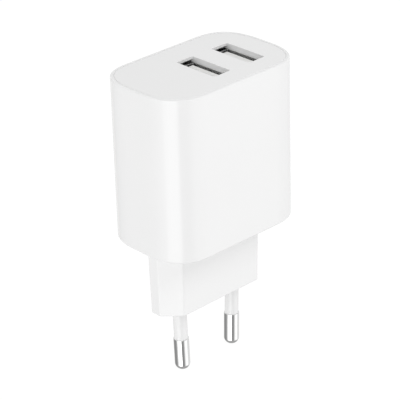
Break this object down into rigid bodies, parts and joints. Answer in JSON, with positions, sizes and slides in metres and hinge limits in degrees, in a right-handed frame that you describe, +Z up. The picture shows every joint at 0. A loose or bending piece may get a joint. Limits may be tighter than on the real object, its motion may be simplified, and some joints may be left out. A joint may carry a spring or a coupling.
{
  "type": "usb wall charger",
  "caption": "White wall charger: a soft-cornered block on a hexagonal flat plug with sleeved round pins, USB sockets set side by side in its top.",
  "frame": {"origin": "middle of the plug face, on the line between the roots of the mains pins", "axes": "+Z runs up through the body to the USB sockets; the mains pins point along -Z; -Y leaves the wide front; +X is to the right seen from that front"},
  "size_m": [0.0436, 0.028, 0.0811],
  "materials": {
    "housing_white": "satin",
    "sleeve_white": "satin",
    "brass_strip": "satin",
    "nickel_plate": "polished",
    "port_steel": "satin",
    "tongue_white": "satin",
    "contact_gold": "polished",
    "board_green": "satin",
    "insulation_card": "matte",
    "moulded_black": "matte",
    "chip_black": "matte",
    "chip_tan": "matte",
    "ferrite_dark": "matte",
    "enamel_copper": "gloss",
    "wire_sheath": "satin",
    "tape_yellow": "satin",
    "can_aluminium": "satin",
    "film_dark": "gloss",
    "bung_rubber": "matte",
    "disc_blue": "gloss",
    "resistor_green": "satin",
    "tinned_wire": "satin"
  },
  "bodies": {
    "charger": {"board_link_header": "moulded_black", "board_link_pins": "tinned_wire", "bridge_rectifier_body": "chip_black", "bridge_rectifier_leads": "tinned_wire", "charge_id_chip_body": "chip_black", "charge_id_chip_leads": "tinned_wire", "chip_capacitors": "chip_tan", "chip_resistors": "chip_black", "controller_chip_body": "chip_black", "controller_chip_leads": "tinned_wire", "filter_choke_core": "ferrite_dark", "filter_choke_winding": "enamel_copper", "fuse_resistor_body": "resistor_green", "fuse_resistor_leads": "tinned_wire", "input_capacitor_1_bung": "bung_rubber", "input_capacitor_1_can": "can_aluminium", "input_capacitor_1_film": "film_dark", "input_capacitor_1_leads": "tinned_wire", "input_capacitor_2_bung": "bung_rubber", "input_capacitor_2_can": "can_aluminium", "input_capacitor_2_film": "film_dark", "input_capacitor_2_leads": "tinned_wire", "insulation_sheet": "insulation_card", "main_board": "board_green", "main_housing": "housing_white", "output_capacitor_1_bung": "bung_rubber", "output_capacitor_1_can": "can_aluminium", "output_capacitor_1_leads": "tinned_wire", "output_capacitor_2_bung": "bung_rubber", "output_capacitor_2_can": "can_aluminium", "output_capacitor_2_leads": "tinned_wire", "output_diode_body": "chip_black", "output_diode_leads": "tinned_wire", "pin_contact_left": "brass_strip", "pin_contact_right": "brass_strip", "pin_left": "nickel_plate", "pin_right": "nickel_plate", "pin_sleeve_left": "sleeve_white", "pin_sleeve_right": "sleeve_white", "plug_base": "housing_white", "port_1_contact_tails": "contact_gold", "port_1_insulator": "tongue_white", "port_1_shell": "port_steel", "port_2_contact_tails": "contact_gold", "port_2_insulator": "tongue_white", "port_2_shell": "port_steel", "suppressor_disc_body": "disc_blue", "suppressor_disc_leads": "tinned_wire", "top_cover": "housing_white", "transformer_bobbin": "moulded_black", "transformer_core_lower": "ferrite_dark", "transformer_core_upper": "ferrite_dark", "transformer_pins": "tinned_wire", "transformer_primary": "enamel_copper", "transformer_secondary": "wire_sheath", "transformer_tape": "tape_yellow", "usb_board": "board_green"},
    "port_1_contacts": {"port_1_contact_blades": "contact_gold"},
    "port_2_contacts": {"port_2_contact_blades": "contact_gold"}
  },
  "joints": [
    {"name": "port_1_contact_flex", "type": "hinge", "parent": "charger", "child": "port_1_contacts", "pos_m": [0.00045, -0.0014, 0.0523], "axis": [0, 1, 0], "range_deg": [0, 2.9]},
    {"name": "port_2_contact_flex", "type": "hinge", "parent": "charger", "child": "port_2_contacts", "pos_m": [0.01215, -0.0014, 0.0523], "axis": [0, 1, 0], "range_deg": [0, 2.9]}
  ]
}
